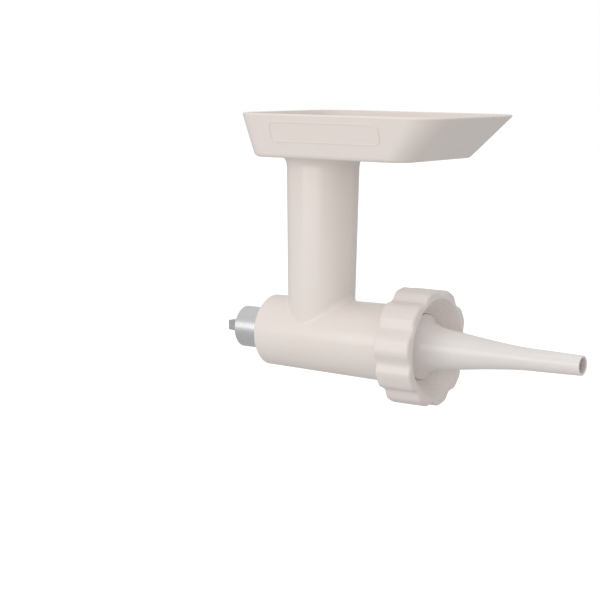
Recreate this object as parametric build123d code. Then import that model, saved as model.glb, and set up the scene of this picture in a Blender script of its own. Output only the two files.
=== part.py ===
from build123d import *
import math
import os

os.makedirs("parts", exist_ok=True)

# ------------------------------------------------------------------ driving dimensions, mm
# frame: X along the drive axis from the shank's rear face to the nozzle, Z up the feed tube
SHANK_LEN = 27.0            # shank that stands out behind the barrel
SHANK_R = 16.45
RELIEF_R = 16.0             # undercut between the shank and the shoulder
RELIEF_X = 20.5
SHOULDER_X = SHANK_LEN      # barrel's rear face
FEED_X = 72.9               # feed tube axis
MOUTH_X = 160.9             # barrel's front face
BARREL_R_REAR = 28.0
BARREL_R_FRONT = 30.0
BORE_R = 24.4
REAR_WALL = 8.0

PLATE_R = 27.0
PLATE_T = 5.0
PLATE_X = 156.0
PLATE_HOLE_R = 3.2
TAB_W = 5.6
TAB_R = 28.8

THREAD_PITCH = 4.0
THREAD_ROOT_R = 30.0
THREAD_CREST_R = 31.9
NUT_ROOT_R = 32.4
NUT_CREST_R = 30.7
RIDGE_BASE = 1.9
RIDGE_TIP = 1.1

FEED_R_LOW = 26.4           # at FEED_Z_LOW
FEED_R_HIGH = 28.4          # at HOPPER_Z
FEED_Z_LOW = 30.0
FEED_WALL = 3.0
SADDLE_R = 4.5              # fillet between feed tube and barrel
NECK_R = 8.0                # flare between feed tube and hopper
THROAT_EDGE = 1.2

HOPPER_Z = 141.2            # underside of the hopper
RIM_Z = 174.5
RIM_X = (32.4, 211.8)
RIM_Y = 66.5
RIM_CORNER = 22.8
FLOOR_X = (39.8, 177.9)
FLOOR_Y = 55.6
FLOOR_CORNER = 16.5
HOPPER_WALL = 2.8
HOPPER_EDGE_R = 4.5
RIM_EDGE_R = 0.9
BORDER_CENTRE = (113.5, 0.60)   # x, and share of the wall's height
BORDER_SIZE = (96.0, 16.6)
BORDER_WIDTH = 1.3
BORDER_PROUD = 0.45

NUT_X = (148.7, 178.3)
NUT_EDGE_R = (1.0, 2.2)     # rear and front
LOBE_COUNT = 10
LOBE_TIP_R = 44.7
LOBE_NOTCH_R = 41.5
LOBE_FLAT = 6.0             # degrees, half of a lobe's full-radius top
LOBE_PHASE = 10.5           # degrees, centre of one lobe from +Z towards -Y
LIP_X = (164.5, 166.5)
LIP_R = 25.35
LIP_EDGE = 0.8
DISH_R = 37.8
DISH_STEPS = 5
DISH_STEP = 0.45

SHAFT_R = 8.0
RUN_CLEARANCE = 0.05
TANG_X = (-16.0, 1.0)
TANG_SIDE = (7.6, 9.8)
DRIVE_SIDE = 10.0
KNIFE_SIDE = 9.4
PILOT_R = 3.95

WORM_X = (40.0, 147.6)
WORM_R = 23.4
WORM_PITCH = 27.0
FLIGHT_T = 4.4


# ------------------------------------------------------------------ helpers
def turned(points):
    """Solid of revolution about X from (x, radius) points."""
    return revolve(make_face(Polyline(*points, close=True)), Axis.X, 360)


def ring(x0, x1, r_out, r_in):
    return turned([(x0, r_in), (x1, r_in), (x1, r_out), (x0, r_out)])


def rod(x0, x1, r):
    return turned([(x0, 0), (x1, 0), (x1, r), (x0, r)])


def square_bar(x0, x1, side0, side1):
    """Square bar along X, tapering from side0 to side1."""
    ends = [Pos(x0, 0, 0) * Rot(0, 90, 0) * Rectangle(side0, side0)]
    ends.append(Pos(x1, 0, 0) * Rot(0, 90, 0) * Rectangle(side1, side1))
    return loft(ends, ruled=True)


def rounded_plate(x_span, half_y, corner, z):
    width = x_span[1] - x_span[0]
    middle = (x_span[0] + x_span[1]) / 2
    return Pos(middle, 0, z) * RectangleRounded(width, 2 * half_y, corner)


def helical_ridge(x_start, turns, pitch, r_base, r_tip, w_base, w_tip):
    """Right-hand helical ridge about X, with a trapezium section."""
    r_mid = (r_base + r_tip) / 2
    path = Helix(pitch=pitch, height=turns * pitch, radius=r_mid)
    section_plane = Plane(origin=path @ 0, x_dir=(1, 0, 0), z_dir=path % 0)
    outline = Polyline(
        (r_base - r_mid, -w_base / 2),
        (r_tip - r_mid, -w_tip / 2),
        (r_tip - r_mid, w_tip / 2),
        (r_base - r_mid, w_base / 2),
        close=True,
    )
    swept = sweep(section_plane * make_face(outline), path=path, is_frenet=True)
    return Pos(x_start, 0, 0) * Rot(0, 90, 0) * swept


def at_angle(shape, degrees):
    return Rot(degrees, 0, 0) * shape


def save(shape, name):
    shape.label = name
    export_step(shape, "parts/" + name + ".step")
    print(name, round(shape.volume / 1000, 2), "cm3", len(shape.solids()), "solid")


# ------------------------------------------------------------------ grinder body
def barrel_outer():
    edge = 0.8
    return turned([
        (SHOULDER_X, 0),
        (SHOULDER_X, BARREL_R_REAR - edge),
        (SHOULDER_X + edge, BARREL_R_REAR),
        (NUT_X[0], BARREL_R_FRONT),
        (MOUTH_X - 0.6, THREAD_ROOT_R),
        (MOUTH_X, THREAD_ROOT_R - 0.6),
        (MOUTH_X, 0),
    ])


def feed_cone(shrink, z0, z1):
    slope = (FEED_R_HIGH - FEED_R_LOW) / (HOPPER_Z - FEED_Z_LOW)
    r0 = FEED_R_LOW + slope * (z0 - FEED_Z_LOW) - shrink
    r1 = FEED_R_LOW + slope * (z1 - FEED_Z_LOW) - shrink
    base = (Align.CENTER, Align.CENTER, Align.MIN)
    return Pos(FEED_X, 0, z0) * Cone(r0, r1, z1 - z0, align=base)


def feed_outer():
    """Feed tube with a flare into the hopper's floor, kept to the flat of the floor at the rear."""
    flare_r = FEED_R_HIGH + NECK_R
    start_z = HOPPER_Z - NECK_R
    top_z = HOPPER_Z + HOPPER_WALL / 2
    slant = NECK_R * math.sin(math.radians(45))
    outline = [
        Line((0, start_z), (FEED_R_HIGH, start_z)),
        ThreePointArc((FEED_R_HIGH, start_z), (flare_r - slant, start_z + slant), (flare_r, HOPPER_Z)),
        Line((flare_r, HOPPER_Z), (flare_r, top_z)),
        Line((flare_r, top_z), (0, top_z)),
        Line((0, top_z), (0, start_z)),
    ]
    flare = Pos(FEED_X, 0, 0) * revolve(Plane.XZ * make_face(outline), Axis.Z, 360)
    flat_x = FLOOR_X[0] + HOPPER_EDGE_R
    behind = Pos(flat_x, 0, HOPPER_Z) * Box(50, 100, 50, align=(Align.MAX, Align.CENTER, Align.CENTER))
    return feed_cone(0, 0, HOPPER_Z) + (flare - behind)


def feed_bore():
    """Bore of the feed tube, with a bevelled edge at the hopper's floor."""
    floor_z = HOPPER_Z + HOPPER_WALL
    bore = feed_cone(FEED_WALL, 8, floor_z + 1)
    edge_r = FEED_R_HIGH - FEED_WALL
    base = (Align.CENTER, Align.CENTER, Align.MIN)
    bevel = Cone(edge_r, edge_r + 2 * THROAT_EDGE, 2 * THROAT_EDGE, align=base)
    return bore + Pos(FEED_X, 0, floor_z - THROAT_EDGE) * bevel


def hopper_shell():
    """Open tray with leaning walls, a rounded rim and rounded edges below."""
    low = rounded_plate(FLOOR_X, FLOOR_Y, FLOOR_CORNER, HOPPER_Z)
    high = rounded_plate(RIM_X, RIM_Y, RIM_CORNER, RIM_Z)
    shell = loft([low, high], ruled=True)
    shell = fillet(shell.edges().group_by(Axis.Z)[0], HOPPER_EDGE_R)
    shell -= hopper_cavity()
    return fillet(shell.edges().group_by(Axis.Z)[-1], RIM_EDGE_R)


def hopper_border():
    """Raised plain border on the hopper's -Y wall."""
    lean = RIM_Y - FLOOR_Y
    rise = RIM_Z - HOPPER_Z
    x, share = BORDER_CENTRE
    middle = (x, -FLOOR_Y - lean * share, HOPPER_Z + rise * share)
    wall_plane = Plane(origin=middle, x_dir=(1, 0, 0), z_dir=(0, -rise, -lean))
    length, height = BORDER_SIZE
    outside = RectangleRounded(length, height, 4.5)
    inside = RectangleRounded(length - 2 * BORDER_WIDTH, height - 2 * BORDER_WIDTH, 3.2)
    frame = extrude(outside - inside, BORDER_PROUD + 0.5)
    frame = fillet(frame.edges().group_by(Axis.Z)[-1], 0.3)
    return wall_plane * Pos(0, 0, -0.5) * frame


def hopper_cavity():
    """Inside of the tray: each wall keeps its thickness, measured square to its own lean."""
    rise = RIM_Z - HOPPER_Z
    rear_lean = (FLOOR_X[0] - RIM_X[0]) / rise
    front_lean = (RIM_X[1] - FLOOR_X[1]) / rise
    side_lean = (RIM_Y - FLOOR_Y) / rise
    ends = []
    for z in (HOPPER_Z + HOPPER_WALL, RIM_Z):
        up = z - HOPPER_Z
        rear = FLOOR_X[0] - rear_lean * up + HOPPER_WALL * math.hypot(1, rear_lean)
        front = FLOOR_X[1] + front_lean * up - HOPPER_WALL * math.hypot(1, front_lean)
        side = FLOOR_Y + side_lean * up - HOPPER_WALL * math.hypot(1, side_lean)
        corner = FLOOR_CORNER + (RIM_CORNER - FLOOR_CORNER) * up / rise - HOPPER_WALL
        ends.append(rounded_plate((rear, front), side, corner, z))
    cavity = loft(ends, ruled=True)
    cavity = fillet(cavity.edges().group_by(Axis.Z)[0], 3.5)
    return cavity + extrude(ends[1], 5)


def grinder_body():
    outer = barrel_outer() + feed_outer()
    saddle = [e for e in outer.edges()
              if 5 < e.center().Z < 60 and e.bounding_box().size.Z > 3
              and abs(e.center().X - FEED_X) < 30 and e.bounding_box().max.Z < 40]
    outer = fillet(saddle, SADDLE_R)
    outer = outer + hopper_shell() + hopper_border()
    body = outer - rod(SHOULDER_X + REAR_WALL, MOUTH_X + 1, BORE_R)
    body -= rod(PLATE_X, MOUTH_X + 1, PLATE_R + 0.15)
    body -= rod(SHOULDER_X - 1, SHOULDER_X + REAR_WALL + 1, RELIEF_R)
    body -= feed_bore()
    for side in (1, -1):
        notch = Pos((PLATE_X + MOUTH_X + 1) / 2, 0, side * (TAB_R / 2 + 0.1))
        body -= notch * Box(MOUTH_X + 1 - PLATE_X, TAB_W + 0.4, TAB_R + 0.2)
    body += helical_ridge(
        150.4, 2.25, THREAD_PITCH, THREAD_ROOT_R - 0.4, THREAD_CREST_R, RIDGE_BASE, RIDGE_TIP
    )
    return body


# ------------------------------------------------------------------ metal hub parts
def hub_shank():
    flange_x = SHOULDER_X + REAR_WALL
    shank = turned([
        (0, SHAFT_R + 3.3),
        (0, SHANK_R),
        (RELIEF_X, SHANK_R),
        (RELIEF_X, RELIEF_R),
        (flange_x, RELIEF_R),
        (flange_x, RELIEF_R + 5),
        (flange_x + 3, RELIEF_R + 5),
        (flange_x + 3, SHAFT_R + 2.5),
        (0.8, SHAFT_R + 2.5),
    ])
    return shank - pin_bar()


def pin_bar():
    seat = Pos(SHOULDER_X - 3.6, 0, SHANK_R - 3.2)
    return seat * Cylinder(2.4, 6.2, align=(Align.CENTER, Align.CENTER, Align.MIN))


def locating_pin():
    pin = pin_bar()
    return chamfer(pin.edges().group_by(Axis.Z)[-1], 0.5)


def shaft_bearing():
    flange_x = SHOULDER_X + REAR_WALL + 3
    return turned([
        (2.0, SHAFT_R + RUN_CLEARANCE),
        (2.0, SHAFT_R + 2.5),
        (flange_x, SHAFT_R + 2.5),
        (flange_x, SHAFT_R + 6.0),
        (flange_x + 0.9, SHAFT_R + 6.0),
        (flange_x + 0.9, SHAFT_R + RUN_CLEARANCE),
    ])


def worm_pin_bar():
    return Pos(50.0, 0, 0) * Rot(90, 0, 0) * Cylinder(1.6, 20.6)


def drive_shaft():
    shaft = square_bar(TANG_X[0], TANG_X[1], TANG_SIDE[0], TANG_SIDE[1])
    shaft = chamfer(shaft.edges().group_by(Axis.X)[0], 0.8)
    shaft += turned([
        (TANG_X[1], 0),
        (TANG_X[1], SHAFT_R - 0.8),
        (TANG_X[1] + 0.8, SHAFT_R),
        (WORM_X[0], SHAFT_R),
        (WORM_X[0], 0),
    ])
    shaft += square_bar(WORM_X[0], WORM_X[1] - 4, DRIVE_SIDE, DRIVE_SIDE)
    shaft += square_bar(WORM_X[1] - 4, PLATE_X - 0.1, KNIFE_SIDE, KNIFE_SIDE)
    shaft += turned([
        (PLATE_X - 0.1, 0),
        (PLATE_X - 0.1, PILOT_R),
        (PLATE_X + PLATE_T - 0.9, PILOT_R),
        (PLATE_X + PLATE_T - 0.1, PILOT_R - 0.8),
        (PLATE_X + PLATE_T - 0.1, 0),
    ])
    return shaft - worm_pin_bar()


# ------------------------------------------------------------------ worm, knife and plate
def thrust_washer():
    return ring(SHOULDER_X + REAR_WALL + 4.0, WORM_X[0] - 0.05, 14.0, SHAFT_R + 0.02)


def grind_worm():
    core = turned([(WORM_X[0], 0), (WORM_X[0], 10.5), (WORM_X[1], 13.4), (WORM_X[1], 0)])
    turns = (WORM_X[1] - WORM_X[0] - 9.0) / WORM_PITCH
    flight = helical_ridge(
        WORM_X[0] + 4.5, turns, WORM_PITCH, 8.6, WORM_R, FLIGHT_T + 2.6, FLIGHT_T - 1.4
    )
    worm = core + flight
    worm += ring(WORM_X[0], WORM_X[0] + 3.0, 14.0, 8.0)
    worm += ring(WORM_X[1] - 2.5, WORM_X[1], 14.5, 8.0)
    worm -= square_bar(WORM_X[0] - 1, WORM_X[1] - 4, DRIVE_SIDE, DRIVE_SIDE)
    worm -= square_bar(WORM_X[1] - 4, WORM_X[1] + 1, KNIFE_SIDE, KNIFE_SIDE)
    return worm - worm_pin_bar()


def knife():
    x0 = WORM_X[1] + 0.2
    x1 = PLATE_X - 0.1
    blade_t = 4.6
    blank = rod(x0, x1, 8.8)
    for k in range(4):
        blade = Polyline(
            (x1 - blade_t, -2.2),
            (x1, -4.6),
            (x1, 3.0),
            (x1 - 1.2, 3.6),
            (x1 - blade_t, 2.6),
            close=True,
        )
        arm = extrude(make_face(blade), 23.8)
        blank += at_angle(arm, 90 * k)
    return blank - square_bar(x0 - 1, x1 + 1, KNIFE_SIDE + 0.1, KNIFE_SIDE + 0.1)


def grinding_plate():
    plate = rod(PLATE_X, PLATE_X + PLATE_T, PLATE_R)
    for side in (1, -1):
        tab = Pos(PLATE_X + PLATE_T / 2, 0, side * TAB_R / 2)
        plate += tab * Box(PLATE_T, TAB_W, TAB_R)
    plate -= rod(PLATE_X - 1, PLATE_X + PLATE_T + 1, PILOT_R + RUN_CLEARANCE)
    hole = rod(PLATE_X - 1, PLATE_X + PLATE_T + 1, PLATE_HOLE_R)
    for circle_r, count in ((12.0, 8), (20.6, 15)):
        for k in range(count):
            turn = 360 / count * k
            plate -= at_angle(Pos(0, 0, circle_r) * hole, turn)
    return plate


# ------------------------------------------------------------------ stuffing tube
TUBE_BASE_X = 161.05
TUBE_FLANGE = (164.35, 30.0)
TUBE_BORE = (164.9, 23.4)   # where the straight bore ends
TUBE_WALL = 1.6
TUBE_FLARE = [
    (166.3, 25.0), (168.9, 21.9), (173.2, 18.9), (179.2, 16.8), (193.2, 14.55),
    (214.2, 11.9), (227.5, 10.4), (241.2, 9.05), (262.0, 8.15),
]
TUBE_TIP = (296.8, 7.35)


def inner_flare():
    """The flare's points moved inwards by the wall, square to the outline."""
    moved = [TUBE_BORE]
    for before, point, after in zip(TUBE_FLARE, TUBE_FLARE[1:], TUBE_FLARE[2:] + [TUBE_TIP]):
        slope = math.atan2(after[1] - before[1], after[0] - before[0])
        moved.append((point[0] + TUBE_WALL * math.sin(slope), point[1] - TUBE_WALL * math.cos(slope)))
    return moved


def stuffer_tube():
    """Flanged tube: a short neck in the nut's lip, a flare, then a long taper to an open tip."""
    flange_x, flange_r = TUBE_FLANGE
    neck_r = TUBE_FLARE[0][1]
    bore_r = TUBE_BORE[1]
    inner = inner_flare()
    tip_inside = (TUBE_TIP[0], TUBE_TIP[1] - TUBE_WALL)
    edges = [
        Line((TUBE_BASE_X, bore_r), (TUBE_BASE_X, flange_r)),
        Line((TUBE_BASE_X, flange_r), (flange_x, flange_r)),
        Line((flange_x, flange_r), (flange_x, neck_r)),
        Line((flange_x, neck_r), TUBE_FLARE[0]),
        Spline(*TUBE_FLARE),
        Line(TUBE_FLARE[-1], TUBE_TIP),
        Line(TUBE_TIP, tip_inside),
        Line(tip_inside, inner[-1]),
        Spline(*reversed(inner)),
        Line(TUBE_BORE, (TUBE_BASE_X, bore_r)),
    ]
    tube = revolve(make_face(edges), Axis.X, 360)
    tip_edges = tube.edges().filter_by(GeomType.CIRCLE).group_by(Axis.X)[-1]
    return fillet(tip_edges, 0.5)


# ------------------------------------------------------------------ ring nut
def lobe_radius(offset):
    """Radius of the grip at an angle from a lobe's centre: a flat top, then a cosine notch."""
    half_step = 180 / LOBE_COUNT
    share = max(0.0, abs(offset) - LOBE_FLAT) / (half_step - LOBE_FLAT)
    return LOBE_NOTCH_R + (LOBE_TIP_R - LOBE_NOTCH_R) * (1 + math.cos(math.pi * share)) / 2


def lobe_outline():
    """Closed outline of the lobed grip."""
    points = []
    for k in range(LOBE_COUNT):
        for offset in (-18, -15, -12, -9, -6, 0, 6, 9, 12, 15):
            a = math.radians(360 / LOBE_COUNT * k + offset)
            radius = lobe_radius(offset)
            points.append((radius * math.cos(a), radius * math.sin(a)))
    return Spline(*points, periodic=True)


def dish_steps():
    """The funnel in the nut's front: cones with a small step between them."""
    run = (NUT_X[1] - LIP_X[1]) / DISH_STEPS
    climb = (DISH_R - LIP_R - LIP_EDGE) / DISH_STEPS
    points = []
    for k in range(DISH_STEPS):
        x = LIP_X[1] + run * k
        r = LIP_R + LIP_EDGE + climb * k
        points.append((x, r + DISH_STEP))
        points.append((x + run, r + climb))
    return points


def ring_nut():
    solid = extrude(make_face(lobe_outline()), NUT_X[1] - NUT_X[0])
    solid = fillet(solid.edges().group_by(Axis.Z)[-1], NUT_EDGE_R[1])
    solid = fillet(solid.edges().group_by(Axis.Z)[0], NUT_EDGE_R[0])
    turn = Rot(LOBE_PHASE, 0, 0)
    nut = turn * Pos(NUT_X[0], 0, 0) * Rot(0, 90, 0) * solid
    nut -= turned([
        (NUT_X[0] - 1, 0),
        (NUT_X[0] - 1, NUT_ROOT_R + 1.4),
        (NUT_X[0], NUT_ROOT_R + 1.0),
        (NUT_X[0] + 1.0, NUT_ROOT_R),
        (LIP_X[0], NUT_ROOT_R),
        (LIP_X[0], LIP_R),
        (LIP_X[1] - LIP_EDGE, LIP_R),
        (LIP_X[1], LIP_R + LIP_EDGE),
        *dish_steps(),
        (NUT_X[1] + 1, DISH_R + 1),
        (NUT_X[1] + 1, 0),
    ])
    nut += helical_ridge(
        152.4, 2.0, THREAD_PITCH, NUT_ROOT_R + 0.4, NUT_CREST_R, RIDGE_BASE, RIDGE_TIP
    )
    return nut


# ------------------------------------------------------------------ build
save(grinder_body(), "grinder_body")
save(hub_shank(), "hub_shank")
save(locating_pin(), "locating_pin")
save(shaft_bearing(), "shaft_bearing")
save(drive_shaft(), "drive_shaft")
save(worm_pin_bar(), "worm_pin")
save(thrust_washer(), "thrust_washer")
save(grind_worm(), "grind_worm")
save(knife(), "knife")
save(grinding_plate(), "grinding_plate")
save(stuffer_tube(), "stuffer_tube")
save(ring_nut(), "ring_nut")
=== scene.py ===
import math

import bpy
from mathutils import Matrix, Vector

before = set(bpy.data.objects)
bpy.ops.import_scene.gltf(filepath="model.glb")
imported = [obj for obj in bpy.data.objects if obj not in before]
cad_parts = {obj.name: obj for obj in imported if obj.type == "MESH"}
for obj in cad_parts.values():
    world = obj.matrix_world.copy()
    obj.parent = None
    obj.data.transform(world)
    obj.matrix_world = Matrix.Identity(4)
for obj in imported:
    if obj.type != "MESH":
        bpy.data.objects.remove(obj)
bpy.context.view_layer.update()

MM = 0.001

# ------------------------------------------------------------------ camera
# The camera stands off in front of the nozzle side, a little above the hopper's rim.
CAMERA_AZIMUTH = math.radians(34.34)
CAMERA_ELEVATION = math.radians(8.17)
CAMERA_ROLL = math.radians(0.50)
CAMERA_DISTANCE = 1.29329
CAMERA_SIDE = -0.01734
CAMERA_RISE = 0.02717
CAMERA_LENS_MM = 98.43
SENSOR_MM = 36.0
AIM_X = 73.2 * MM


def add_camera():
    a, e, r = CAMERA_AZIMUTH, CAMERA_ELEVATION, CAMERA_ROLL
    back = Vector((math.sin(a) * math.cos(e), -math.cos(a) * math.cos(e), math.sin(e)))
    right = Vector((math.cos(a), math.sin(a), 0))
    up = back.cross(right)
    place = Vector((AIM_X, 0, 0)) + back * CAMERA_DISTANCE
    place += right * CAMERA_SIDE + up * CAMERA_RISE
    rolled_right = right * math.cos(r) + up * math.sin(r)
    rolled_up = -right * math.sin(r) + up * math.cos(r)
    data = bpy.data.cameras.new("camera")
    data.lens = CAMERA_LENS_MM
    data.sensor_width = SENSOR_MM
    camera = bpy.data.objects.new("camera", data)
    turn = Matrix((rolled_right, rolled_up, back)).transposed().to_4x4()
    camera.matrix_world = Matrix.Translation(place) @ turn
    bpy.context.scene.collection.objects.link(camera)
    bpy.context.scene.camera = camera


# ------------------------------------------------------------------ materials
# A noise is scaled by features per metre, and its detail is the number of finer octaves.
CLOUD_NOISE = (14.0, 2.0)
GLOSS_NOISE = (30.0, 2.0)
GRAIN_NOISE = (900.0, 2.0)
LINE_NOISE = (300.0, 4.0)
NOISE_SPAN = (0.2, 0.8)             # the part of a noise that spread() uses
PLASTIC_GLOSS_SPREAD = (-0.01, 0.02)
METAL_GLOSS_SPREAD = (-0.06, 0.10)
PLASTIC_IOR = 1.48
SUBSURFACE_TINT = (1.0, 0.7, 0.5)   # how much deeper red goes than green and blue
GRAIN_DEPTH = 0.05 * MM
LINE_DEPTH = 0.02 * MM
LINE_STRENGTH = 0.25

# Plastics: light and dark colour, roughness, grain, subsurface share and depth. With the
# spread, a roughness stays wholly above or below 0.27, where contour lines show on it.
BODY_PLASTIC = ((0.802, 0.733, 0.690), (0.792, 0.723, 0.680), 0.20, 0.05, 0.06, 1.5 * MM)
NUT_PLASTIC = ((0.774, 0.706, 0.672), (0.764, 0.696, 0.662), 0.24, 0.06, 0.06, 1.5 * MM)
TUBE_PLASTIC = ((0.802, 0.756, 0.731), (0.797, 0.751, 0.726), 0.22, 0.02, 0.30, 2.5 * MM)
INNER_PLASTIC = ((0.82, 0.79, 0.75), (0.79, 0.76, 0.72), 0.40, 0.20, 0.06, 1.5 * MM)

# Metals: light and dark colour, roughness, and the noise's squeeze along each axis. The
# lines run along the axis that is squeezed least.
TURNED_METAL = ((0.78, 0.78, 0.79), (0.62, 0.62, 0.63), 0.28, (12.0, 0.4, 0.4))
GROUND_STEEL = ((0.62, 0.62, 0.63), (0.50, 0.50, 0.51), 0.26, (0.2, 6.0, 6.0))
PLATE_STEEL = ((0.64, 0.64, 0.65), (0.52, 0.52, 0.53), 0.30, (6.0, 6.0, 0.2))


def new_material(name):
    material = bpy.data.materials.new(name)
    material.use_nodes = True
    return material, material.node_tree.nodes, material.node_tree.links


def noise(nodes, links, vector, kind):
    texture = nodes.new("ShaderNodeTexNoise")
    texture.inputs["Scale"].default_value, texture.inputs["Detail"].default_value = kind
    links.new(vector, texture.inputs["Vector"])
    return texture.outputs["Fac"]


def spread(nodes, links, source, middle, around):
    """Maps a noise to a value around the middle, with soft ends."""
    mapping = nodes.new("ShaderNodeMapRange")
    mapping.interpolation_type = "SMOOTHERSTEP"
    mapping.inputs["From Min"].default_value = NOISE_SPAN[0]
    mapping.inputs["From Max"].default_value = NOISE_SPAN[1]
    mapping.inputs["To Min"].default_value = middle + around[0]
    mapping.inputs["To Max"].default_value = middle + around[1]
    links.new(source, mapping.inputs["Value"])
    return mapping.outputs["Result"]


def blend_colours(nodes, links, factor, first, second):
    mix = nodes.new("ShaderNodeMix")
    mix.data_type = "RGBA"
    mix.inputs["A"].default_value = (*first, 1)
    mix.inputs["B"].default_value = (*second, 1)
    links.new(factor, mix.inputs["Factor"])
    return mix.outputs["Result"]


def add_bump(nodes, links, shader, height, strength, depth):
    bump = nodes.new("ShaderNodeBump")
    bump.inputs["Strength"].default_value = strength
    bump.inputs["Distance"].default_value = depth
    links.new(height, bump.inputs["Height"])
    links.new(bump.outputs["Normal"], shader.inputs["Normal"])


def plastic(name, light, dark, rough, grain, subsurface, depth):
    """Moulded plastic: cloudy colour, uneven gloss and a faint grain."""
    material, nodes, links = new_material(name)
    shader = nodes["Principled BSDF"]
    vector = nodes.new("ShaderNodeTexCoord").outputs["Object"]
    clouds = noise(nodes, links, vector, CLOUD_NOISE)
    links.new(blend_colours(nodes, links, clouds, light, dark), shader.inputs["Base Color"])
    gloss = noise(nodes, links, vector, GLOSS_NOISE)
    roughness = spread(nodes, links, gloss, rough, PLASTIC_GLOSS_SPREAD)
    links.new(roughness, shader.inputs["Roughness"])
    height = noise(nodes, links, vector, GRAIN_NOISE)
    add_bump(nodes, links, shader, height, grain, GRAIN_DEPTH)
    shader.inputs["IOR"].default_value = PLASTIC_IOR
    shader.inputs["Subsurface Weight"].default_value = subsurface
    shader.inputs["Subsurface Radius"].default_value = SUBSURFACE_TINT
    shader.inputs["Subsurface Scale"].default_value = depth
    return material


def metal(name, light, dark, rough, squeeze):
    """Turned or ground metal: fine lines along one direction."""
    material, nodes, links = new_material(name)
    shader = nodes["Principled BSDF"]
    coords = nodes.new("ShaderNodeTexCoord")
    mapping = nodes.new("ShaderNodeMapping")
    mapping.inputs["Scale"].default_value = squeeze
    links.new(coords.outputs["Object"], mapping.inputs["Vector"])
    lines = noise(nodes, links, mapping.outputs["Vector"], LINE_NOISE)
    links.new(blend_colours(nodes, links, lines, light, dark), shader.inputs["Base Color"])
    roughness = spread(nodes, links, lines, rough, METAL_GLOSS_SPREAD)
    links.new(roughness, shader.inputs["Roughness"])
    add_bump(nodes, links, shader, lines, LINE_STRENGTH, LINE_DEPTH)
    shader.inputs["Metallic"].default_value = 1.0
    return material


def dress_nodes():
    body = plastic("body_plastic_look", *BODY_PLASTIC)
    nut = plastic("nut_plastic_look", *NUT_PLASTIC)
    tube = plastic("tube_plastic_look", *TUBE_PLASTIC)
    inner = plastic("inner_plastic_look", *INNER_PLASTIC)
    turned = metal("turned_metal_look", *TURNED_METAL)
    ground = metal("ground_steel_look", *GROUND_STEEL)
    plate = metal("plate_steel_look", *PLATE_STEEL)
    looks = {
        "grinder_body": body,
        "ring_nut": nut,
        "stuffer_tube": tube,
        "grind_worm": inner,
        "shaft_bearing": inner,
        "thrust_washer": inner,
        "hub_shank": turned,
        "drive_shaft": ground,
        "locating_pin": ground,
        "worm_pin": ground,
        "knife": plate,
        "grinding_plate": plate,
    }
    for name, look in looks.items():
        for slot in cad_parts[name].material_slots:
            slot.material = look


# ------------------------------------------------------------------ studio
FLOOR_Z = -0.20
FLOOR_HALF = 6.0
FLOOR_ALBEDO = 0.60
FLOOR_FILL = 0.68                   # lifts the floor to the backdrop's white
BACKDROP = 1.0                      # how bright the surroundings look in the picture
AMBIENT = 0.72                      # how bright they are for the object
LIGHT_AIM = (0.12, 0, 0.07)
KEY_AZIMUTH = math.radians(-5)      # from -Y, positive towards +X
KEY_ELEVATION = math.radians(8)
KEY_DISTANCE = 1.7
KEY_SIZE = (2.0, 0.9)
KEY_WATTS = 11.2
TOP_HEIGHT = 1.2
TOP_SIZE = (1.5, 1.5)
TOP_WATTS = 3.0
RIM_PLACE = (1.45, 0.90, 0.12)
RIM_SIZE = (1.0, 1.0)
RIM_WATTS = 1.3


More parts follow.
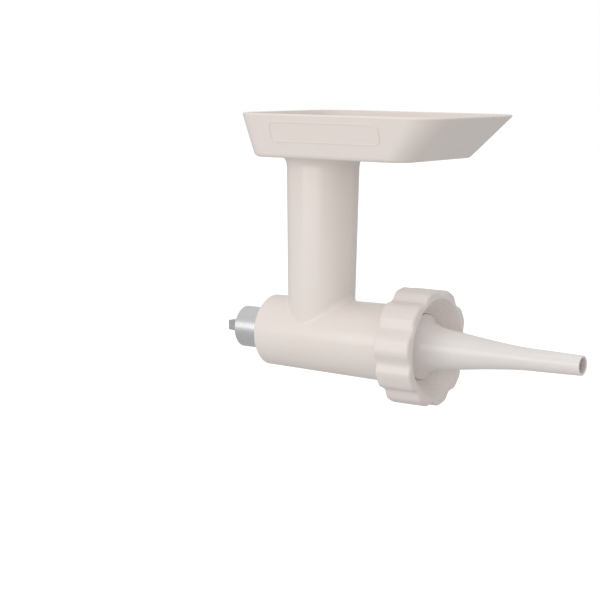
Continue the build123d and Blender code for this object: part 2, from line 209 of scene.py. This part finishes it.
def add_floor():
    mesh = bpy.data.meshes.new("floor")
    signs = [(-1, -1), (1, -1), (1, 1), (-1, 1)]
    corners = [(x * FLOOR_HALF, y * FLOOR_HALF, FLOOR_Z) for x, y in signs]
    mesh.from_pydata(corners, [], [(0, 1, 2, 3)])
    floor = bpy.data.objects.new("floor", mesh)
    bpy.context.scene.collection.objects.link(floor)
    material, nodes, links = new_material("floor_look")
    shader = nodes["Principled BSDF"]
    shader.inputs["Base Color"].default_value = (FLOOR_ALBEDO, FLOOR_ALBEDO, FLOOR_ALBEDO, 1)
    shader.inputs["Roughness"].default_value = 1.0
    shader.inputs["Specular IOR Level"].default_value = 0.0
    shader.inputs["Emission Color"].default_value = (1, 1, 1, 1)
    rays = nodes.new("ShaderNodeLightPath")
    fill = nodes.new("ShaderNodeMath")
    fill.operation = "MULTIPLY"
    fill.inputs[1].default_value = FLOOR_FILL
    links.new(rays.outputs["Is Camera Ray"], fill.inputs[0])
    links.new(fill.outputs["Value"], shader.inputs["Emission Strength"])
    mesh.materials.append(material)


def add_area(name, place, size, watts):
    data = bpy.data.lights.new(name, "AREA")
    data.shape = "RECTANGLE"
    data.size, data.size_y = size
    data.energy = watts
    lamp = bpy.data.objects.new(name, data)
    lamp.location = place
    lamp.rotation_mode = "QUATERNION"
    lamp.rotation_quaternion = (Vector(LIGHT_AIM) - Vector(place)).to_track_quat("-Z", "Y")
    bpy.context.scene.collection.objects.link(lamp)


def add_studio():
    """White surroundings, a soft key in front, a softbox above and a rim light behind."""
    world = bpy.data.worlds.new("studio")
    world.use_nodes = True
    bpy.context.scene.world = world
    nodes = world.node_tree.nodes
    links = world.node_tree.links
    ambient = nodes["Background"]
    ambient.inputs["Color"].default_value = (1.0, 1.0, 1.0, 1)
    ambient.inputs["Strength"].default_value = AMBIENT
    backdrop = nodes.new("ShaderNodeBackground")
    backdrop.inputs["Color"].default_value = (1.0, 1.0, 1.0, 1)
    backdrop.inputs["Strength"].default_value = BACKDROP
    rays = nodes.new("ShaderNodeLightPath")
    mix = nodes.new("ShaderNodeMixShader")
    links.new(rays.outputs["Is Camera Ray"], mix.inputs["Fac"])
    links.new(ambient.outputs["Background"], mix.inputs[1])
    links.new(backdrop.outputs["Background"], mix.inputs[2])
    links.new(mix.outputs["Shader"], nodes["World Output"].inputs["Surface"])
    x, y, z = LIGHT_AIM
    level = KEY_DISTANCE * math.cos(KEY_ELEVATION)
    key_place = (
        x + level * math.sin(KEY_AZIMUTH),
        y - level * math.cos(KEY_AZIMUTH),
        z + KEY_DISTANCE * math.sin(KEY_ELEVATION),
    )
    add_area("key", key_place, KEY_SIZE, KEY_WATTS)
    add_area("top", (x, y, z + TOP_HEIGHT), TOP_SIZE, TOP_WATTS)
    add_area("rim", RIM_PLACE, RIM_SIZE, RIM_WATTS)
    bpy.context.scene.view_settings.view_transform = "Standard"


add_camera()
dress_nodes()
add_floor()
add_studio()
